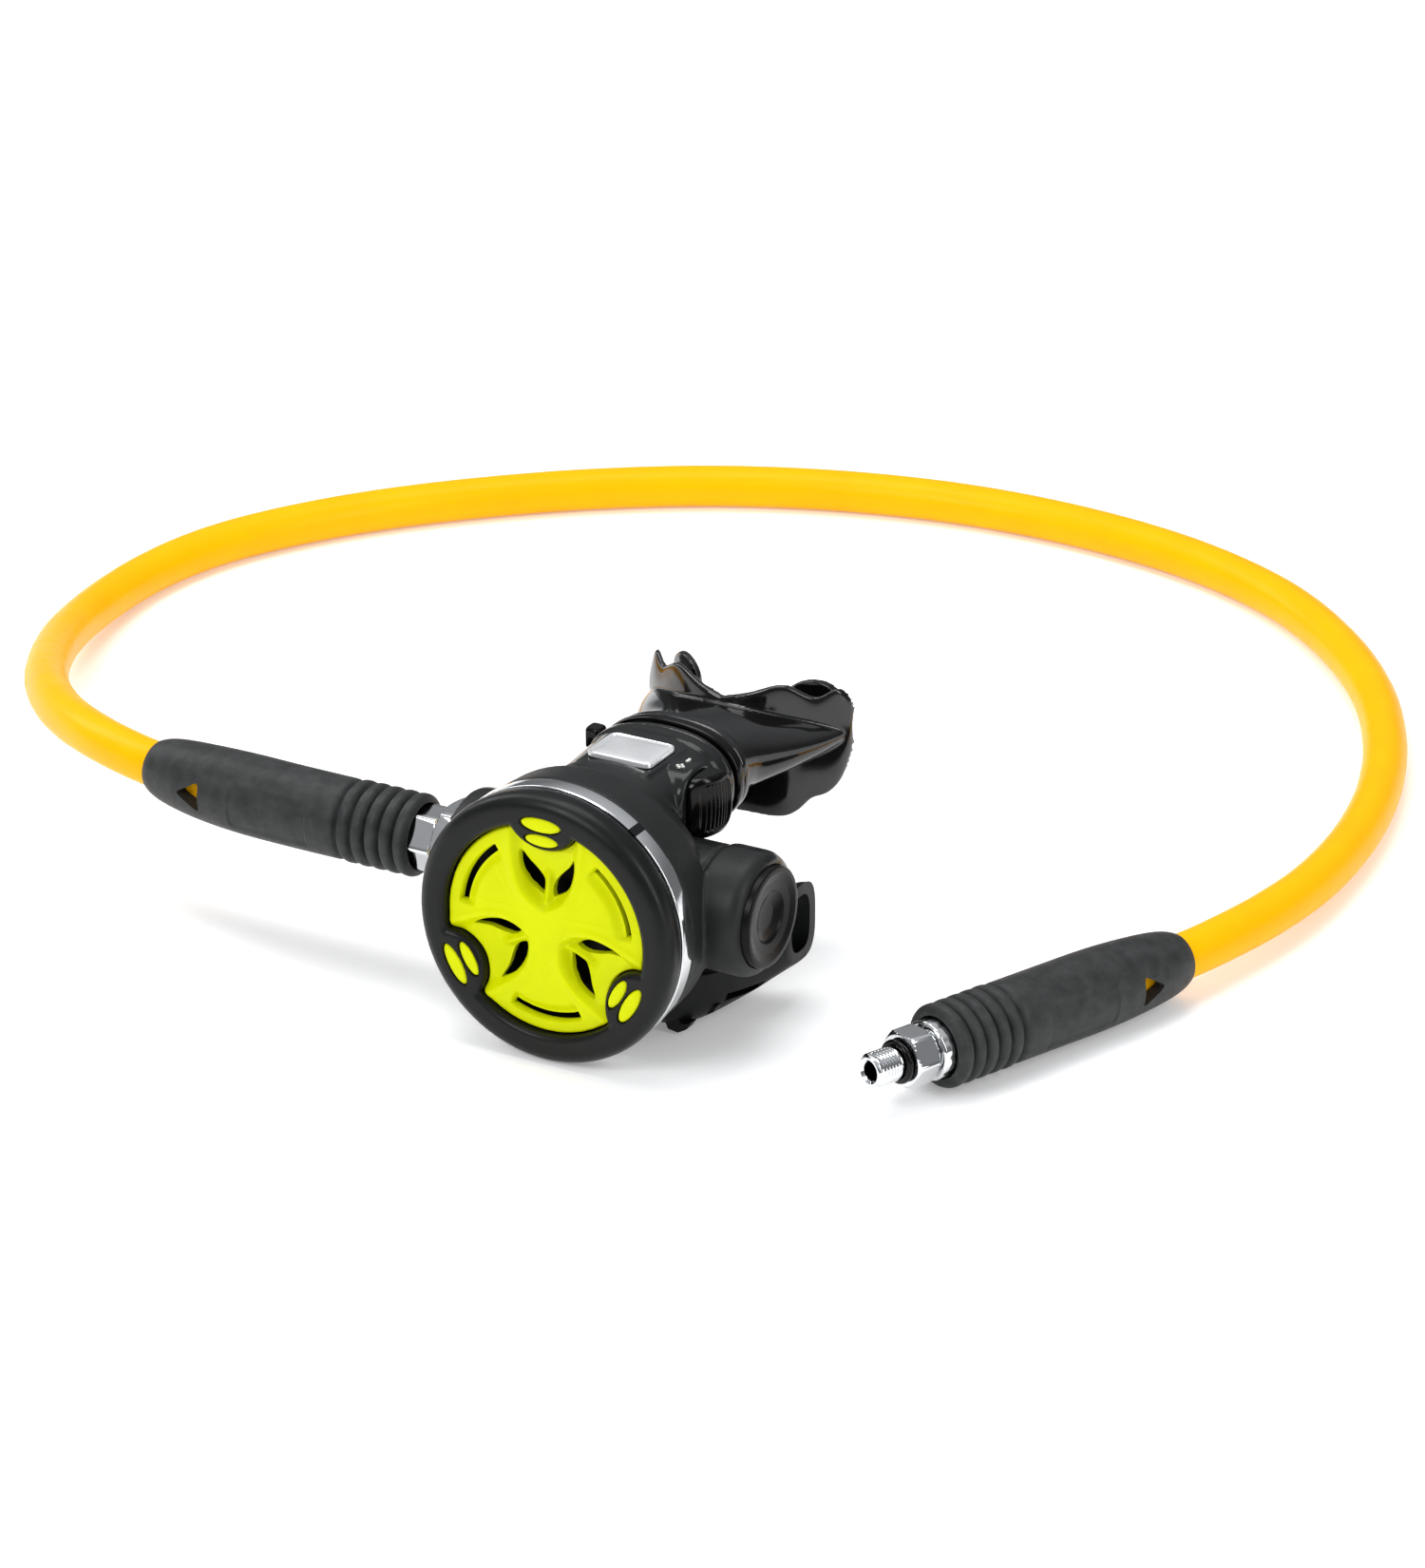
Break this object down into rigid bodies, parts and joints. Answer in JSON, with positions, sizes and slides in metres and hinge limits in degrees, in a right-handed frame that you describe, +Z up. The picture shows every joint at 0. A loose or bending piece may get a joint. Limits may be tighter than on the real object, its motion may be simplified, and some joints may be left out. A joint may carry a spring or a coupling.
{
  "type": "scuba regulator second stage with hose",
  "caption": "Scuba regulator second stage with a press-to-purge cover, mouthpiece, exhaust tee and a low-pressure hose that ends in a threaded male fitting.",
  "frame": {"origin": "on the surface the regulator stands on, under the middle of the regulator's own box, hose and hose ends left out", "axes": "+Z up; -Y the way the purge cover faces; +Y the way the mouthpiece points; +X towards the end cap, away from the hose"},
  "size_m": [0.4142, 0.3977, 0.0755],
  "materials": {
    "rubber_black": "satin moulded rubber",
    "case_plastic": "soft matte plastic with a fine grain",
    "lime": "satin moulded plastic",
    "chrome": "bright plated",
    "brass": "turned",
    "steel": "plain stainless",
    "silicone_black": "glossy silicone",
    "silicone_clear": "translucent silicone",
    "gloss_black": "polished",
    "badge_silver": "blank silver label under clear resin",
    "hose_yellow": "satin yellow jacket",
    "white_plastic": "plain moulded"
  },
  "bodies": {
    "case": {"cover_ring": "rubber_black", "cover_inlay_1": "lime", "cover_inlay_2": "lime", "cover_inlay_3": "lime", "cover_inlay_4": "lime", "cover_inlay_5": "lime", "cover_inlay_6": "lime", "trim_ring": "chrome", "diaphragm": "rubber_black", "case_shell": "case_plastic", "top_badge": "badge_silver", "end_cap": "gloss_black", "air_barrel": "brass", "barrel_nut": "chrome", "barrel_o_ring_1": "rubber_black", "barrel_o_ring_2": "rubber_black", "orifice": "brass", "poppet_spring": "steel", "spring_washer": "steel", "exhaust_tee": "rubber_black", "mouthpiece": "silicone_black", "mouthpiece_tie": "gloss_black", "hose_nut": "chrome", "inlet_ferrule": "chrome", "inlet_boot": "rubber_black", "tank_fitting": "chrome", "tank_o_ring": "rubber_black", "tank_ferrule": "chrome", "tank_boot": "rubber_black", "hose": "hose_yellow"},
    "purge": {"purge_cover": "lime"},
    "diaphragm_centre": {"diaphragm_plate": "steel"},
    "lever": {"demand_lever": "steel"},
    "poppet_stem": {"poppet": "white_plastic", "poppet_seat": "rubber_black", "poppet_nut": "brass"},
    "venturi": {"venturi_lever": "gloss_black", "venturi_shaft": "gloss_black", "venturi_vane": "gloss_black"},
    "exhaust_flap": {"exhaust_valve": "silicone_clear"}
  },
  "joints": [
    {"name": "purge_press", "type": "slide", "parent": "case", "child": "purge", "axis": [0, 1, 0], "range_m": [0, 0.003], "stiffness_N_per_m": 800},
    {"name": "diaphragm_flex", "type": "slide", "parent": "case", "child": "diaphragm_centre", "axis": [0, 1, 0], "range_m": [0, 0.003], "deforming": ["diaphragm"]},
    {"name": "lever_swing", "type": "hinge", "parent": "case", "child": "lever", "pos_m": [0.0255, -0.029, 0.0378], "axis": [0, 0, -1], "range_deg": [0, 7.5]},
    {"name": "poppet_slide", "type": "slide", "parent": "case", "child": "poppet_stem", "axis": [1, 0, 0], "range_m": [0, 0.0009], "deforming": ["poppet_spring"]},
    {"name": "venturi_turn", "type": "hinge", "parent": "case", "child": "venturi", "pos_m": [0.0257, -0.0095, 0.0598], "axis": [1, 0, 0], "range_deg": [-35, 0]},
    {"name": "exhaust_lift", "type": "slide", "parent": "case", "child": "exhaust_flap", "axis": [0, 0, -1], "range_m": [0, 0.0015], "stiffness_N_per_m": 120}
  ],
  "couplings": [
    {"joint": "diaphragm_flex", "follows": "purge_press", "ratio": 1},
    {"joint": "lever_swing", "follows": "purge_press", "rad_per_m": 43.633},
    {"joint": "poppet_slide", "follows": "purge_press", "ratio": 0.3}
  ]
}
